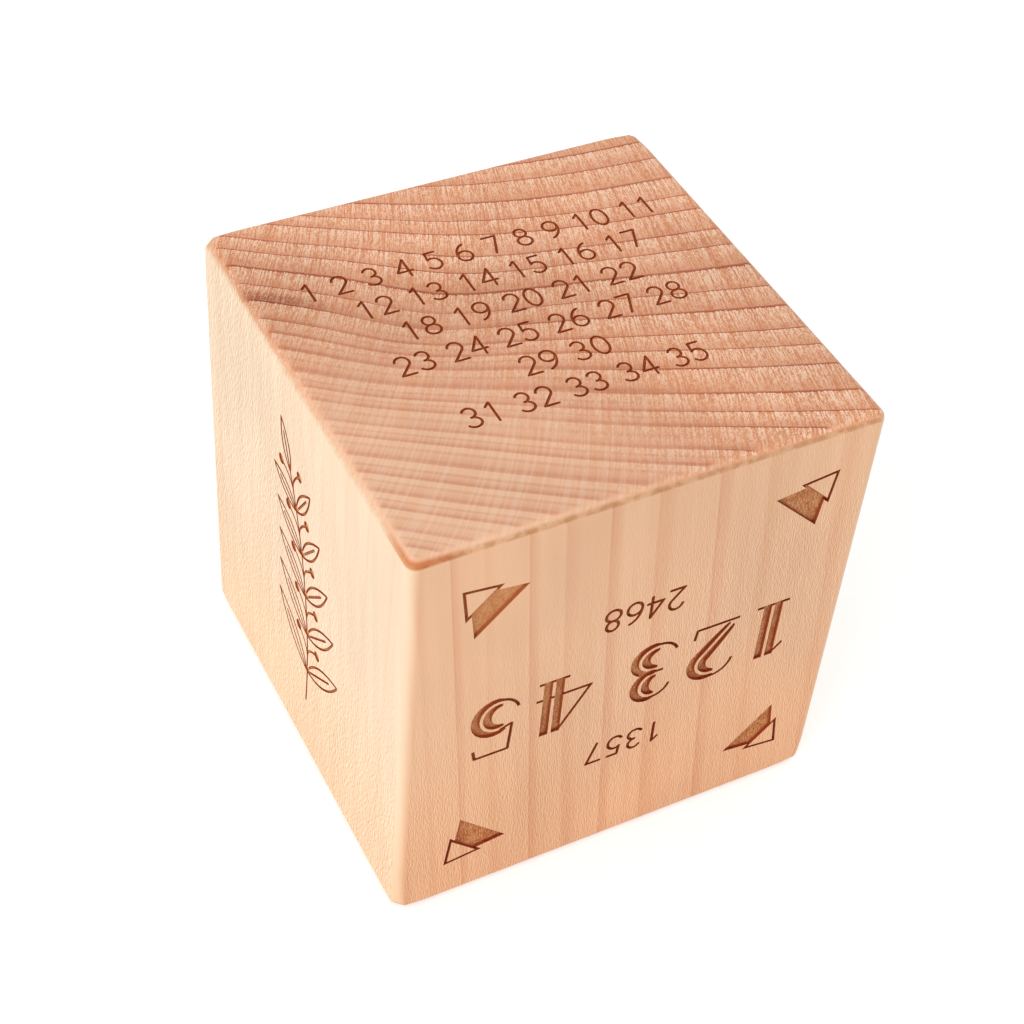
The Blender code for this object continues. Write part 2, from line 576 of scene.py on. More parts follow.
def cut_plan(border, marks):
    outlines = [border] + [rim for rim, _ in marks] + [floor for _, floor in marks]
    points, loops = [], []
    for outline in outlines:
        loops.append(list(range(len(points), len(points) + len(outline))))
        points += [Vector((p.x, p.y)) for p in outline]
    spots, _, triangles, spot_sources, _, sources = delaunay_2d_cdt(points, [], loops, 1, NEAR)
    first_floor = 1 + len(marks)
    kinds = []
    for inside in sources:
        deepest = max(inside)
        kinds.append(FLOOR if deepest >= first_floor else WALL if deepest > 0 else BARE)
    return spots, triangles, spot_sources, kinds


def sunk_shares(spots, triangles, kinds):
    """How deep each point lies: 1 beside a floor, 0 beside bare wood, half way inside a wall."""
    shares = [0.5] * len(spots)
    for kind, share in ((BARE, 0.0), (FLOOR, 1.0)):
        for triangle, its_kind in zip(triangles, kinds):
            if its_kind == kind:
                for corner in triangle:
                    shares[corner] = share
    return shares


print("a triangle is bare wood, floor or wall")

# %% [markdown]
# The flat of each side is then taken out and its triangles are put in. Their floors go down to the full
# depth, which is least where the lines are thin. The points on the border are the old ones, so no edge
# of the block is ever opened and it stays one closed solid.

# %% Push the floors down
FRONT_DEPTH = 0.32
TOP_DEPTH = 0.22
LEFT_DEPTH = 0.18


def engrave(shape, side_layer, side, marks, deep):
    outward, across, up = SIDES[side][:3]
    origin = middle_of(side)
    flat = max(shape.faces, key=lambda f: f.normal.dot(outward) * f.calc_area())
    corners = flat.verts[:]
    border = [Vector(((v.co - origin).dot(across), (v.co - origin).dot(up))) for v in corners]
    bmesh.ops.delete(shape, geom=[flat], context="FACES_ONLY")
    spots, triangles, spot_sources, kinds = cut_plan(border, marks)
    points = []
    for spot, share, came_from in zip(spots, sunk_shares(spots, triangles, kinds), spot_sources):
        on_border = [i for i in came_from if i < len(corners)]
        place = origin + across * spot.x + up * spot.y - outward * deep * share
        points.append(corners[on_border[0]] if on_border else shape.verts.new(place))
    for triangle, kind in zip(triangles, kinds):
        face = shape.faces.new([points[i] for i in triangle])
        face.material_index = kind
        face[side_layer] = 1 + SIDE_NAMES.index(side)
    return len(triangles)


side_layer = block_shape.faces.layers.int.new("side")
print("front triangles:", engrave(block_shape, side_layer, "front", front_marks, FRONT_DEPTH))
print("top triangles:", engrave(block_shape, side_layer, "top", top_marks, TOP_DEPTH))
print("left triangles:", engrave(block_shape, side_layer, "left", left_marks, LEFT_DEPTH))

# %% [markdown]
# Now the sides are laid out flat for a texture map. An engraved polygon stays with its side, whichever
# way its wall looks. All other polygons go to the side that they face most, so the rounding is shared
# between neighbours. Only the rounding is shaded smooth: sawn faces and burnt walls stay crisp.

# %% Lay out the map
MAP_NAME = "OFBake"
MAP_FILL = 0.95
FLAT = 0.9999


def facing(normal):
    return max(SIDE_NAMES, key=lambda name: normal.dot(SIDES[name][0]))


map_layer = block_shape.loops.layers.uv.new(MAP_NAME)
block_shape.normal_update()
for face in block_shape.faces:
    name = SIDE_NAMES[face[side_layer] - 1] if face[side_layer] else facing(face.normal)
    _, across, up, tile, tile_size = SIDES[name]
    face.smooth = not face[side_layer] and max(abs(c) for c in face.normal) < FLAT
    for corner in face.loops:
        place = (corner.vert.co - heart) * (MAP_FILL / height)
        spot = Vector((place.dot(across), place.dot(up))) + Vector((0.5, 0.5))
        corner[map_layer].uv = tile + spot * tile_size
print("smooth polygons:", sum(face.smooth for face in block_shape.faces))

# %% [markdown]
# Where the rounding meets a flat side it takes that side's normal, so that no faint line shows there. The
# mesh then becomes one piece, because the real block has no seam anywhere, and it takes the place of the
# plain block of the frame.

# %% Make the object


def rounding_normals(mesh):
    """One normal for each corner of each polygon, as the mesh wants them."""
    of_flat_side = {}
    for polygon in mesh.polygons:
        if not polygon.use_smooth:
            of_flat_side.update({i: polygon.normal.copy() for i in polygon.vertices})
    normals = []
    for polygon in mesh.polygons:
        for i in polygon.vertices:
            smooth = of_flat_side.get(i, mesh.vertices[i].normal)
            normals.append(smooth if polygon.use_smooth else polygon.normal)
    return normals


open_edges = [e for e in block_shape.edges if not e.is_manifold]
bmesh.ops.scale(block_shape, vec=(MM, MM, MM), verts=block_shape.verts)
block_mesh = bpy.data.meshes.new("engraved maple block")
block_shape.to_mesh(block_mesh)
block_shape.free()
block_mesh.normals_split_custom_set(rounding_normals(block_mesh))
block = bpy.data.objects.new("engraved_maple_block", block_mesh)
bpy.context.scene.collection.objects.link(block)
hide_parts("maple_block")
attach(block, "root")
print("block has", len(block_mesh.polygons), "faces and", len(open_edges), "open edges")

# %% [markdown]
# ## Wiring words
#
# Shader trees get long, so a few short functions add a node, set it up and wire it in one line. Every
# input may be a number, a colour or the output of another node. An output knows the tree that it is in,
# so a tree has to be named only for a node that nothing flows into.

# %% Helpers for shader nodes


def wire(kind, inputs, tree=None, **settings):
    flows = {name: value for name, value in inputs.items() if isinstance(value, bpy.types.NodeSocket)}
    tree = tree or next(iter(flows.values())).id_data
    made = tree.nodes.new("ShaderNode" + kind)
    for name, value in settings.items():
        setattr(made, name, value)
    for name, value in inputs.items():
        if name in flows:
            tree.links.new(value, made.inputs[name])
        else:
            made.inputs[name].default_value = value
    return made


def calc(operation, *sources):
    return wire("Math", dict(enumerate(sources)), operation=operation).outputs[0]


def times(first, second):
    return calc("MULTIPLY", first, second)


def ramp(value, start, end, low=0.0, high=1.0):
    """Slide smoothly from low to high while the value goes from start to end."""
    inputs = {"Value": value, "From Min": start, "From Max": end, "To Min": low, "To Max": high}
    return wire("MapRange", inputs, interpolation_type="SMOOTHSTEP").outputs[0]


def fade(value, start, end):
    return ramp(value, start, end, 1.0, 0.0)


def left_of(share):
    return calc("SUBTRACT", 1.0, share)


def blend(share, first, second):
    return wire("Mix", {0: share, 2: first, 3: second}).outputs[0]


def mix(share, first, second, mode="MIX"):
    inputs = {0: share, 6: first, 7: second}
    return wire("Mix", inputs, data_type="RGBA", blend_type=mode).outputs[2]


def tinted(share, wood, tint):
    return mix(share, wood, mix(1.0, wood, tint, "MULTIPLY"))


print("a shader helper adds one node and returns its output")

# %% [markdown]
# Patterns in wood are noise that is stretched: a ray is long one way and thin the other. So each cloud of
# noise gets a size in millimetres. Colours are written as a screen shows them, because they are easy to
# judge that way, and turned into the linear light that shaders work in.

# %% Helpers for patterns and colours


def vector(operation, *sources):
    return wire("VectorMath", dict(enumerate(sources)), operation=operation).outputs


def stretched(place, x, y, z):
    """Measure a place in units of x, y and z, to stretch a pattern to these sizes."""
    return vector("MULTIPLY", place, (1.0 / x, 1.0 / y, 1.0 / z))[0]


def in_millimetres(place):
    return stretched(place, MM, MM, MM)


def noise(place, size, detail):
    inputs = {"Vector": stretched(place, *size), "Scale": 1.0, "Detail": detail, "Roughness": 0.5}
    return wire("TexNoise", inputs)


def cloud(place, size, detail=2.0):
    return noise(place, size, detail).outputs[0]


def bell(away):
    """1 where a vector is zero, and softly less where it is longer."""
    return calc("EXPONENT", times(vector("DOT_PRODUCT", away, away)["Value"], -1.0))


def screen(red, green, blue):
    parts = [c / 255.0 for c in (red, green, blue)]
    return [c / 12.92 if c < 0.04045 else ((c + 0.055) / 1.055) ** 2.4 for c in parts] + [1.0]


print("pale maple is", [round(c, 2) for c in screen(240, 196, 165)], "in linear light")

# %% [markdown]
# ## Where a point lay in the tree
#
# Wood looks right when every side shows the same tree. So each point of the block is measured from
# the pith, the middle of the trunk: how far out it is, how far round, and how high. The trunk stood a
# little askew in the block and never grew quite round, so the place wanders before it is measured.
# At one place the trunk also had a broad swelling, where all the rings bulge outwards and bend. The
# rays lean to one side and fan out, so the way round is read from a ruler that leans and fans out too.

# %% Polar places around the pith
PITH = (33.2, 110.0)
TRUNK_LEAN = 0.075
WANDER = 0.8
SWAY_SIZE = (22.0, 22.0, 70.0)
RAY_RULER = 0.83
RAY_SPREAD = 0.0031
RAY_FAN = 0.0081
RAY_LEAN = -0.37
SWELLING_PLACE = (-8.9, 4.3, 0.0)
SWELLING_TURN = math.radians(-70.0)
SWELLING_SIZE = (8.0, 12.5, 1.0)
SWELLING_HEIGHT = 2.15


def wandering_place(tree):
    seen = wire("TexCoord", {}, tree)
    place = in_millimetres(seen.outputs["Object"])
    sway = noise(place, SWAY_SIZE, 1.5).outputs["Color"]
    centred = vector("SUBTRACT", sway, (0.5, 0.5, 0.5))[0]
    moved = vector("MULTIPLY_ADD", centred, (WANDER, WANDER, 0.0), place)[0]
    return place, moved, seen.outputs["Normal"]


def swelling_of_trunk(x, y):
    inputs = {
        "Vector": wire("CombineXYZ", {0: x, 1: y}).outputs[0], "Location": SWELLING_PLACE,
        "Rotation": (0.0, 0.0, SWELLING_TURN), "Scale": SWELLING_SIZE,
    }
    away = wire("Mapping", inputs, vector_type="TEXTURE").outputs[0]
    return times(bell(away), SWELLING_HEIGHT)


def trunk_place(place):
    """Way round, radius and height, as they were in the standing tree, and the place across the block."""
    split = wire("SeparateXYZ", {0: place})
    drop = calc("SUBTRACT", split.outputs["Z"], height)
    x = calc("MULTIPLY_ADD", drop, TRUNK_LEAN, split.outputs["X"])
    y = split.outputs["Y"]
    east = calc("SUBTRACT", x, PITH[0])
    north = calc("SUBTRACT", y, PITH[1])
    squares = calc("ADD", calc("POWER", east, 2.0), calc("POWER", north, 2.0))
    radius = calc("SUBTRACT", calc("SQRT", squares), swelling_of_trunk(x, y))
    opening = calc("MULTIPLY_ADD", x, RAY_SPREAD, calc("MULTIPLY_ADD", y, RAY_FAN, RAY_RULER))
    around = calc("MULTIPLY_ADD", x, opening, times(y, RAY_LEAN))
    trunk = wire("CombineXYZ", {0: around, 1: radius, 2: split.outputs["Z"]}).outputs[0]
    return trunk, radius, x


print("the pith is", round(math.hypot(*PITH)), "mm from the block's middle")

# %% [markdown]
# ## Rays
#
# Thin rays run from the pith outwards through all the years. Cut across, on the end grain, they are
# bright and dark hairs at right angles to the rings, broken up by fine pores. They come from noise that
# is squeezed round the trunk and drawn out along its radius: one long pattern that keeps the hairs
# straight, and a short one that breaks them into dashes. A few rays are broad, and cross many years.

# %% Rays and pores
RAY_SPACING = 0.13
RAY_LENGTH = 5.0
DASH_LENGTH = 0.55
LONG_SHARE = 0.4
PORE_SIZE = 0.12
PORE_SHARE = 0.4
BROAD_RAY_SPACING = 0.26
BROAD_RAY_LENGTH = 12.0


def ray_hairs(trunk):
    """From 0 in a dark ray to 1 in a bright one, around a half between them."""
    long_rays = cloud(trunk, (RAY_SPACING, RAY_LENGTH, 1.2), 0.0)
    dashes = cloud(trunk, (RAY_SPACING, DASH_LENGTH, 1.0), 1.0)
    pores = cloud(trunk, (PORE_SIZE, PORE_SIZE * 1.4, 0.8), 0.0)
    hairs = calc("MULTIPLY_ADD", long_rays, LONG_SHARE, times(dashes, 1.0 - LONG_SHARE))
    return calc("MULTIPLY_ADD", calc("SUBTRACT", pores, 0.5), PORE_SHARE, hairs)


def broad_rays(trunk):
    rays = cloud(trunk, (BROAD_RAY_SPACING, BROAD_RAY_LENGTH, 3.0), 0.0)
    return ramp(rays, 0.42, 0.68)


print("a ray is about", RAY_SPACING, "mm from the next")

# %% [markdown]
# ## Growth rings
#
# Each year starts pale and ends in a thin reddish line. Distance from the pith is turned into a count
# of years. The whole part of the count says which year it is, and the rest how far the year has gone.
# The years are narrower on the left, and no two are equally wide or equally strong. A ray that crosses
# a line shifts it a little, so the lines are finely jagged.

# %% Years
FIRST_RADIUS = 99.085
YEAR_WIDTH = 2.75
LEFT_SQUEEZE = 0.0070
UNEVEN = 0.8
UNEVEN_PACE = 0.2
JAGGED = 0.12


def years(radius, x, jolt):
    beyond = calc("SUBTRACT", radius, FIRST_RADIUS)
    squeezed = times(beyond, calc("MULTIPLY_ADD", x, -LEFT_SQUEEZE, 1.0))
    inputs = {"W": times(squeezed, UNEVEN_PACE), "Scale": 1.0, "Detail": 0.0}
    uneven = wire("TexNoise", inputs, noise_dimensions="1D").outputs[0]
    count = calc("MULTIPLY_ADD", uneven, UNEVEN, calc("DIVIDE", squeezed, YEAR_WIDTH))
    count = calc("MULTIPLY_ADD", jolt, JAGGED, count)
    which = calc("FLOOR", count)
    gone = calc("FRACT", count)
    luck = wire("TexWhiteNoise", {"W": which}, noise_dimensions="1D").outputs["Value"]
    return gone, luck


print("years are about", YEAR_WIDTH, "mm wide")

# %% [markdown]
# A year's line is thin and sharp where the end grain is fresh. Where hands have polished the wood it is
# broad and soft, so each line is made both ways and the wear of the place chooses between them. Some
# years are darker than others as well: the ones near the pith are paler, and a band further out is deeper.

# %% Year lines and the age of the wood
THIN_LINE = (0.915, 0.96)
SOFT_LINE_RISE = (0.72, 0.87)
SOFT_LINE_FALL = (0.89, 1.0)
DARK_YEARS = 112.0
DARK_YEARS_REACH = 7.0
DARK_YEARS_TINT = (0.92, 0.908, 0.90, 1.0)
INNER_YEARS = (107.0, 99.0)
INNER_TINT = (1.06, 1.05, 1.05, 1.0)


def year_line(gone, crisp):
    sharp = ramp(gone, *THIN_LINE)
    soft = times(ramp(gone, *SOFT_LINE_RISE), fade(gone, *SOFT_LINE_FALL))
    return blend(crisp, soft, sharp)


def shaded_by_age(wood, radius):
    off = calc("DIVIDE", calc("SUBTRACT", radius, DARK_YEARS), DARK_YEARS_REACH)
    band = calc("EXPONENT", times(calc("POWER", off, 2.0), -1.0))
    wood = tinted(band, wood, DARK_YEARS_TINT)
    return tinted(ramp(radius, *INNER_YEARS), wood, INNER_TINT)


print("the deepest years lie", DARK_YEARS, "mm from the pith")

# %% [markdown]
# ## The colours of maple
#
# On the end grain every year can be read: bright with rays at first, then orange, then a dark line. Where
# the wood is polished a faint line half way through the year shows too, and the rays nearly vanish. The
# colours are laid over each other in the order in which they hide each other, the sharp lines last.

# %% End grain
END_EARLY = screen(230, 165, 124)
END_LATE = screen(213, 141, 100)
END_LINE = screen(172, 88, 58)
SOFT_LINE = screen(209, 133, 98)
BRIGHT_RAY = screen(247, 213, 186)
DARK_RAY = screen(198, 119, 82)
CRISP = (0.45, 0.95)
HALF_YEAR = 0.47
HALF_YEAR_SHARE = 0.6
BROAD_RAY_SHARE = 0.12
RAY_WEAR = 1.6
BRIGHT_HAIRS = (0.5, 0.61)
DARK_HAIRS = (0.48, 0.36)
DARK_HAIR_SHARE = 0.7


def end_grain(gone, strength, hairs, broad, clear):
    """One year after the other, crossed by rays that are clearest where a year begins."""
    crisp = ramp(clear, *CRISP)
    wood = mix(times(ramp(gone, 0.25, 1.0), strength), END_EARLY, END_LATE)
    line_colour = mix(crisp, SOFT_LINE, END_LINE)
    half_way = calc("FRACT", calc("ADD", gone, HALF_YEAR))
    faint = times(year_line(half_way, 0.0), ramp(crisp, 0.0, 1.0, HALF_YEAR_SHARE, 0.0))
    wood = mix(times(faint, strength), wood, line_colour)
    lines = times(year_line(gone, crisp), strength)
    wood = mix(lines, wood, line_colour)
    wood = mix(times(broad, BROAD_RAY_SHARE), wood, BRIGHT_RAY)
    unworn = calc("POWER", clear, RAY_WEAR)
    shine = times(ramp(gone, 0.0, 0.95, 1.0, 0.3), unworn)
    bright = times(ramp(hairs, *BRIGHT_HAIRS), shine)
    dark = times(ramp(hairs, *DARK_HAIRS, 0.0, DARK_HAIR_SHARE), unworn)
    wood = mix(dark, mix(bright, wood, BRIGHT_RAY), DARK_RAY)
    return mix(times(lines, crisp), wood, END_LINE)


print("the end of a year is", [round(c, 2) for c in END_LINE[:3]])

# %% [markdown]
# On the sides the same years are only faint upright streaks. A side that was cut along the rays, as the
# left one was, throws back more light than the front, which was cut across them. Its paler set of colours
# is painted light: the brightness of the left lamp and the sheen of the ray cut, given to both sideways
# faces. So there are two sets of colours, and the way a side looks chooses between them.

# %% Side grain
SIDE_EARLY = screen(232, 184, 146)
SIDE_LATE = screen(229, 178, 139)
SIDE_LINE = screen(221, 164, 127)
# Painted light: the sideways faces get these paler colours for the left lamp's brightness and the ray cut's
# sheen.
PAINTED_LIT_EARLY = screen(240, 213, 182)
PAINTED_LIT_LINE = screen(239, 205, 173)
SOFT_STREAK_SHARE = 0.6


def side_grain(gone, strength, ray_cut_painted_lit_side):
    broad = times(ramp(gone, 0.6, 0.9), fade(gone, 0.9, 1.0))
    thin = times(ramp(gone, 0.9, 0.95), fade(gone, 0.96, 1.0))
    streak = times(calc("MULTIPLY_ADD", broad, SOFT_STREAK_SHARE, thin), strength)
    across = mix(streak, mix(broad, SIDE_EARLY, SIDE_LATE), SIDE_LINE)
    # The paler set is painted light on the sideways faces.
    return mix(ray_cut_painted_lit_side, across, mix(streak, PAINTED_LIT_EARLY, PAINTED_LIT_LINE))


print("pale side wood is", [round(c, 2) for c in PAINTED_LIT_EARLY[:3]])

# %% [markdown]
# ## Ripples on the sides
#
# Where the rays meet a side they make it ripple, in short upright waves. Noise gives blots, but a Gabor
# texture is made of little waves that all stand the same way, so it is close to the real figure. Broad
# soft stripes lie under it. Both make the wood only a little lighter or darker, so they are tints that
# multiply its colour. The front is calmer near its top edge, the upright edges are sanded smooth, and the
# foot of the block is painted warmer, as light bounced up from the paper.

# %% Ripples and stripes
DARK_TINT = (0.83, 0.71, 0.59, 1.0)
LIGHT_TINT = (1.12, 1.25, 1.38, 1.0)
# The paler sideways faces have their own ripple tints, part of the same painted light.
PAINTED_LIT_DARK_TINT = (0.88, 0.74, 0.60, 1.0)
PAINTED_LIT_LIGHT_TINT = (1.11, 1.24, 1.37, 1.0)
# Painted bounce light: the foot of the block is tinted warmer, as light thrown up by the paper.
BOUNCE_LIGHT_TINT = (1.06, 0.965, 0.885, 1.0)
STRIPE_SIZE = (1.0, 4.0, 30.0)
STRIPE_SHARE = 0.1
CALM_SHARE = 0.5
CALM_FROM = 38.0
CALM_AT = 50.0
BOUNCE_LIGHT_UP_TO = 34.0
RIPPLE_SPACING = 0.23
RIPPLE_LENGTH = 0.55
RIPPLE_SLANT = 0.55


def ripples(place):
    """From 0 in the dark of a ripple to 1 in its light."""
    split = wire("SeparateXYZ", {0: place})
    ruler = calc("MULTIPLY_ADD", split.outputs["Y"], -RIPPLE_SLANT, split.outputs["X"])
    across = calc("DIVIDE", ruler, RIPPLE_SPACING)
    along = calc("DIVIDE", split.outputs["Z"], RIPPLE_LENGTH)
    spot = wire("CombineXYZ", {0: across, 1: along}).outputs[0]
    inputs = {"Vector": spot, "Scale": 1.0, "Frequency": 1.0, "Anisotropy": 0.9, "Orientation": 0.0}
    return ramp(wire("TexGabor", inputs).outputs["Value"], 0.3, 0.7)


def rippled(wood, waves, trunk, ray_cut_painted_lit_side, clear):
    dark = mix(ray_cut_painted_lit_side, DARK_TINT, PAINTED_LIT_DARK_TINT)
    light = mix(ray_cut_painted_lit_side, LIGHT_TINT, PAINTED_LIT_LIGHT_TINT)
    rise = wire("SeparateXYZ", {0: trunk}).outputs["Z"]
    calm = times(ramp(rise, CALM_FROM, CALM_AT, 0.0, CALM_SHARE), left_of(ray_cut_painted_lit_side))
    wood = tinted(times(clear, left_of(calm)), wood, mix(waves, dark, light))
    stripes = ramp(cloud(trunk, STRIPE_SIZE, 1.0), 0.35, 0.65)
    wood = tinted(STRIPE_SHARE, wood, mix(stripes, DARK_TINT, LIGHT_TINT))
    # Painted bounce light warms the foot of the block.
    return tinted(fade(rise, 0.0, BOUNCE_LIGHT_UP_TO), wood, BOUNCE_LIGHT_TINT)


print("the wood is warmer up to", BOUNCE_LIGHT_UP_TO, "mm")

# %% [markdown]
# ## Stains and handling
#
# A dark mineral stain sits in one year near the left edge of the top, and a weaker one on the right. A
# stain follows the year that it is in, so it is placed by its way round the trunk and its radius, and
# the bright rays show through it.

# %% Stains
STAINS = (((-25.0, 111.9), (4.6, 1.3), 0.9), ((19.4, 105.3), (3.0, 0.9), 0.45))
STAIN_TINT = (0.56, 0.39, 0.33, 1.0)
ANY_HEIGHT = 1000.0


def stain(trunk, place, size):
    away = vector("SUBTRACT", trunk, (*place, 0.0))[0]
    return bell(stretched(away, *size, ANY_HEIGHT))


def stained(wood, trunk, gone, hairs):
    between_rays = ramp(hairs, 0.46, 0.6, 1.0, 0.4)
    for place, size, strength in STAINS:
        late = ramp(gone, 0.1, 0.7, 0.0, strength)
        share = times(stain(trunk, place, size), late)
        wood = tinted(times(share, between_rays), wood, STAIN_TINT)
    return wood


print("stains:", len(STAINS))

# %% [markdown]
# Hands have polished the corner that stands nearest until its grain is faint and pale. They have also
# rubbed the rounded edges round the top darker, in patches, and most of all at that corner. The rounding
# is found by how far the surface looks up: not at all on the sides, and fully on the flat top.

# %% Rubbed edges
HANDLED_CORNER = (-width / 2.0, -depth / 2.0, height)
RUBBED_TINT = (0.68, 0.57, 0.44, 1.0)
RUBBED_PATCH = (1.1, 1.1, 0.9)
# Rubbed patches are fewer on the sideways faces, whose colours are painted paler for light.
RUBBED_ON_PAINTED_LIT_SIDE = 0.3
CORNER_TINT = (0.80, 0.46, 0.28, 1.0)
CORNER_REACH = (1.5, 7.0)


def from_handled_corner(place):
    return vector("DISTANCE", place, HANDLED_CORNER)["Value"]


def rounding(upward, end):
    """1 on the rounded edges of the top, 0 on the flat sides."""
    return times(ramp(upward, 0.1, 0.36), fade(upward, end - 0.3, end))


def rubbed(wood, place, upward, ray_cut_painted_lit_side, away):
    patches = ramp(cloud(place, RUBBED_PATCH), 0.4, 0.62, 0.42, 0.95)
    patches = times(patches, ramp(ray_cut_painted_lit_side, 0.0, 1.0, 1.0, RUBBED_ON_PAINTED_LIT_SIDE))
    wood = tinted(times(patches, rounding(upward, 0.8)), wood, RUBBED_TINT)
    corner = times(fade(away, *CORNER_REACH), rounding(upward, 0.9))
    return tinted(corner, wood, CORNER_TINT)


print("the handled corner is at", tuple(round(c, 1) for c in HANDLED_CORNER))

# %% [markdown]
# All of it is wired once, in a node group that each finish can use. It gives the colour and a height,
# so that the bump of the surface follows the same rays and ripples that the colour shows.

# %% One node group for the wood
RAGGED = 0.6
POLISHED = (10.0, 46.0)
GRAIN_LEFT = 0.12
PALER = (10.0, 39.0)
PALER_TINT = (1.04, 1.29, 1.50, 1.0)
FADING_SIZE = (9.0, 9.0, 14.0)
SHADE_SIZE = (15.0, 15.0, 22.0)
EDGE_TURN = 0.25


def facing_shares(normal):
    """How much a point looks up, faces sideways, where paler colours paint the lamp's light and the ray
    cut's sheen, and is on an upright edge.
    """
    split = wire("SeparateXYZ", {0: normal})
    sideward = calc("ABSOLUTE", split.outputs["X"])
    between = calc("ABSOLUTE", times(split.outputs["X"], split.outputs["Y"]))
    return split.outputs["Z"], ramp(sideward, 0.0, 1.0), ramp(between, 0.0, EDGE_TURN)


def maple_group():
    group = bpy.data.node_groups.new("maple grain", "ShaderNodeTree")
    group.interface.new_socket(name="Color", in_out="OUTPUT", socket_type="NodeSocketColor")
    group.interface.new_socket(name="Height", in_out="OUTPUT", socket_type="NodeSocketFloat")
    true_place, place, normal = wandering_place(group)
    trunk, radius, x = trunk_place(place)
    hairs = ray_hairs(trunk)
    bristle = calc("SUBTRACT", hairs, 0.5)
    # Facing sideways picks the paler colours, which are painted light from the lamp and sheen of the ray
    # cut.
    upward, ray_cut_painted_lit_side, upright_edge = facing_shares(normal)
    endward = calc("ABSOLUTE", upward)
    end_share = ramp(calc("MULTIPLY_ADD", bristle, RAGGED, endward), 0.4, 0.75)
    away = from_handled_corner(true_place)
    clear = ramp(away, *POLISHED, GRAIN_LEFT, 1.0)

    gone, luck = years(radius, x, times(bristle, times(end_share, clear)))
    fading = ramp(cloud(place, FADING_SIZE), 0.3, 0.6, 0.6, 1.0)
    end_strength = times(ramp(luck, 0.0, 1.0, 0.75, 1.0), fading)
    end_strength = times(end_strength, ramp(endward, 0.82, 0.985))
    end_clear = times(clear, left_of(rounding(upward, 0.8)))
    end = end_grain(gone, end_strength, hairs, broad_rays(trunk), end_clear)
    end = shaded_by_age(end, radius)
    end = tinted(fade(away, *PALER), end, PALER_TINT)
    end = stained(end, trunk, gone, hairs)

    waves = blend(upright_edge, ripples(place), 0.5)
    side_strength = times(ramp(luck, 0.0, 1.0), fading)
    side = side_grain(gone, side_strength, ray_cut_painted_lit_side)
    side = rippled(side, waves, trunk, ray_cut_painted_lit_side, clear)

    wood = mix(end_share, side, end)
    shade = ramp(cloud(true_place, SHADE_SIZE, 3.0), 0.3, 0.7, 0.95, 1.04)
    wood = mix(1.0, wood, shade, "MULTIPLY")
    wood = rubbed(wood, true_place, upward, ray_cut_painted_lit_side, away)
    relief = blend(end_share, waves, hairs)
    out = group.nodes.new("NodeGroupOutput")
    group.links.new(wood, out.inputs["Color"])
    group.links.new(times(relief, clear), out.inputs["Height"])
    return group


maple_grain = maple_group()
print("maple group has", len(maple_grain.nodes), "nodes")

# %% [markdown]
# ## Three finishes
#
# Bare wood is sanded and unvarnished, so it shines very little. Inside a groove it is the same wood,
# browned by the laser, so every finish starts from the same group and only tints its colour.

# %% Bare wood
SANDED_ROUGHNESS = 0.55
DULL = 0.25
GRAIN_RELIEF = 0.02 * MM
RELIEF_STRENGTH = 0.6


def wood_material(name, roughness):
    material = bpy.data.materials.new(name)
    material.use_nodes = True
    tree = material.node_tree
    shader = tree.nodes["Principled BSDF"]
    grain = tree.nodes.new("ShaderNodeGroup")
    grain.node_tree = maple_grain
    inputs = {"Height": grain.outputs["Height"], "Distance": GRAIN_RELIEF, "Strength": RELIEF_STRENGTH}
    tree.links.new(wire("Bump", inputs).outputs[0], shader.inputs["Normal"])
    shader.inputs["Roughness"].default_value = roughness
    shader.inputs["Specular IOR Level"].default_value = DULL
    return material, tree, shader, grain.outputs["Color"]


maple, tree, shader, colour = wood_material("sanded maple", SANDED_ROUGHNESS)
tree.links.new(colour, shader.inputs["Base Color"])
print("bare wood has roughness", SANDED_ROUGHNESS)

# %% [markdown]
# The floor of a groove is darkest beside the walls. That is painted shade of the recess together with the
# smoke that settled there, and an ambient occlusion node finds those places. Specks of char are strewn over
# it. Soot lies thickest in the deep grooves of the front, and it is worn away near the corner that hands
# hold. The walls are browned the most.

# %% Browned floors and walls
BURNT_FLOOR_ROUGHNESS = 0.75
BURNT_WALL_ROUGHNESS = 0.8
FLOOR_TINT = (0.76, 0.60, 0.40, 1.0)
FINE_SOOT = (0.49, 0.15, 0.042, 1.0)
DEEP_SOOT = (0.38, 0.105, 0.03, 1.0)
WORN_SOOT = (0.58, 0.31, 0.16, 1.0)
WALL_SHADE = (0.96, 0.86, 0.8, 1.0)
FLOOR_WEAR = 1.0
WALL_WEAR = 0.75
WEAR_REACH = (8.0, 42.0)
SHADE_AND_SMOKE_REACH = 0.7 * MM
CHAR_SPECK = (0.11, 0.2, 0.3)
CHAR_PATCH = (1.5, 1.5, 2.5)


def soot(place, most_worn):
    y = wire("SeparateXYZ", {0: place}).outputs["Y"]
    on_front = fade(y, 1.0 - depth / 2.0, 2.0 - depth / 2.0)
    worn = ramp(from_handled_corner(place), *WEAR_REACH, most_worn, 0.0)
    fresh = mix(on_front, FINE_SOOT, DEEP_SOOT)
    return mix(times(worn, on_front), fresh, WORN_SOOT)


burnt_floor, tree, shader, colour = wood_material("browned groove floor", BURNT_FLOOR_ROUGHNESS)
place = in_millimetres(wire("TexCoord", {}, tree).outputs["Object"])
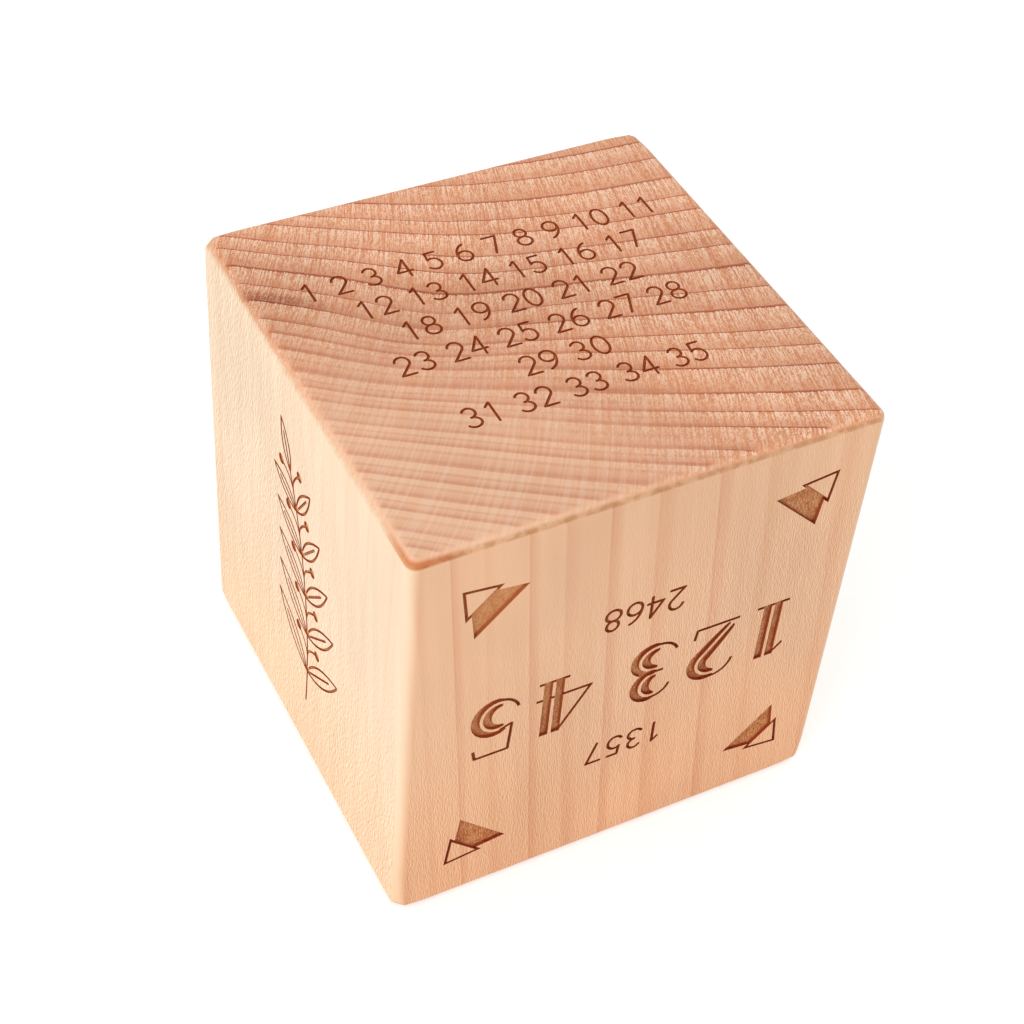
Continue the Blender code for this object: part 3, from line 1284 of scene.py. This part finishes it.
# Painted shade: ambient occlusion darkens the floor beside the walls, standing for shade of the recess as
# well as smoke.
recess_shade_and_smoke = wire("AmbientOcclusion", {"Distance": SHADE_AND_SMOKE_REACH}, tree, samples=6, only_local=True)
lit_and_clean = ramp(recess_shade_and_smoke.outputs["AO"], 0.42, 0.94)
lit_and_clean = times(lit_and_clean, ramp(cloud(place, CHAR_SPECK, 1.0), 0.34, 0.62, 0.35, 1.15))
lit_and_clean = times(lit_and_clean, ramp(cloud(place, CHAR_PATCH), 0.35, 0.6, 0.6, 1.05))
tint = mix(lit_and_clean, soot(place, FLOOR_WEAR), FLOOR_TINT)
tree.links.new(mix(1.0, colour, tint, "MULTIPLY"), shader.inputs["Base Color"])

burnt_wall, tree, shader, colour = wood_material("browned groove wall", BURNT_WALL_ROUGHNESS)
place = in_millimetres(wire("TexCoord", {}, tree).outputs["Object"])
tint = mix(1.0, soot(place, WALL_WEAR), WALL_SHADE, "MULTIPLY")
tree.links.new(mix(1.0, colour, tint, "MULTIPLY"), shader.inputs["Base Color"])

for finish in (maple, burnt_floor, burnt_wall):
    block_mesh.materials.append(finish)
print("finishes:", [m.name for m in block_mesh.materials])

# %% [markdown]
# ## Floor and light
#
# A product photograph stands on white paper that is bright enough to vanish. A floor of pale paper
# would come out grey here, so it glows a little, but only for rays that carry a picture to the camera:
# straight ones, mirrored ones and ones through glass.

# %% White paper
PAPER_SIZE = 6.0
PAPER_COLOUR = (0.88, 0.88, 0.88, 1.0)
PAPER_GLOW = 0.34
WHITE = (1.0, 1.0, 1.0, 1.0)


def seen_rays(tree):
    kinds = wire("LightPath", {}, tree).outputs
    mirrored = calc("MAXIMUM", kinds["Is Glossy Ray"], kinds["Is Transmission Ray"])
    return calc("MAXIMUM", kinds["Is Camera Ray"], mirrored)


bpy.ops.mesh.primitive_plane_add(size=PAPER_SIZE, location=(0.0, 0.0, block_low.z))
paper = bpy.context.active_object
paper.name = "white_paper"
paper_finish = bpy.data.materials.new("matt white paper")
paper_finish.use_nodes = True
tree = paper_finish.node_tree
shader = tree.nodes["Principled BSDF"]
shader.inputs["Base Color"].default_value = PAPER_COLOUR
shader.inputs["Roughness"].default_value = 1.0
shader.inputs["Specular IOR Level"].default_value = 0.0
shader.inputs["Emission Color"].default_value = WHITE
tree.links.new(times(seen_rays(tree), PAPER_GLOW), shader.inputs["Emission Strength"])
paper.data.materials.append(paper_finish)
print("paper lies at z =", round(paper.location.z, 4))

# %% [markdown]
# The block is lit by a broad soft lamp on the left, a weak one in front, and an even white room that fills
# the shadows. Some light and shade is painted into the wood as well: the paler sideways faces, the warm
# foot and the shade beside the groove walls. The room is kept dimmer than it looks to the camera, so that
# the wood shows its own colour.

# %% Room and lamps
ROOM_LIGHT = 0.78
LAMP_SIZE = 0.7
LAMP_POWER = 4.4
LAMP_PLACE = Vector((-0.85, -0.35, 0.55))
FILL_POWER = 0.6
FILL_PLACE = Vector((0.35, -0.95, 0.30))

room = bpy.data.worlds.new("white room")
room.use_nodes = True
bpy.context.scene.world = room
tree = room.node_tree
backdrop = tree.nodes["Background"]
backdrop.inputs["Color"].default_value = WHITE
tree.links.new(ramp(seen_rays(tree), 0.0, 1.0, ROOM_LIGHT, 1.0), backdrop.inputs["Strength"])


def soft_lamp(name, place, power):
    light = bpy.data.lights.new(name, "AREA")
    light.energy = power
    light.size = LAMP_SIZE
    lamp = bpy.data.objects.new(name, light)
    lamp.location = place
    lamp.rotation_euler = (block_middle - place).to_track_quat("-Z", "Y").to_euler()
    bpy.context.scene.collection.objects.link(lamp)
    print(name, "stands", round((place - block_middle).length, 2), "m away")


soft_lamp("left_lamp", LAMP_PLACE, LAMP_POWER)
soft_lamp("front_fill", FILL_PLACE, FILL_POWER)

# %% [markdown]
# ## Camera
#
# The photograph looks down on the block from the front left, close enough for strong perspective, and
# the camera was tipped a few degrees. Angles are measured from the front, around and up.

# %% Stand the camera where the photograph was taken
CAMERA_AROUND = math.radians(-30.836)
CAMERA_UP = math.radians(45.088)
CAMERA_AWAY = 4.414
AIM_AROUND = math.radians(-30.618)
AIM_UP = math.radians(45.112)
CAMERA_ROLL = math.radians(5.237)
CAMERA_LENS = 73.137


def outward_from(around, up):
    return Vector((math.sin(around) * math.cos(up), -math.cos(around) * math.cos(up), math.sin(up)))


camera_data = bpy.data.cameras.new("photo camera")
camera_data.lens = CAMERA_LENS
camera_data.sensor_width = 36.0
camera_data.clip_start = 0.01
camera = bpy.data.objects.new("photo camera", camera_data)
camera.location = block_middle + outward_from(CAMERA_AROUND, CAMERA_UP) * (CAMERA_AWAY * width * MM)
aim = (-outward_from(AIM_AROUND, AIM_UP)).to_track_quat("-Z", "Y")
camera.rotation_euler = (aim.to_matrix() @ Matrix.Rotation(CAMERA_ROLL, 3, "Z")).to_euler()
bpy.context.scene.collection.objects.link(camera)
bpy.context.scene.camera = camera
bpy.context.scene.view_settings.view_transform = "Standard"
print("camera at", tuple(round(c, 3) for c in camera.location))
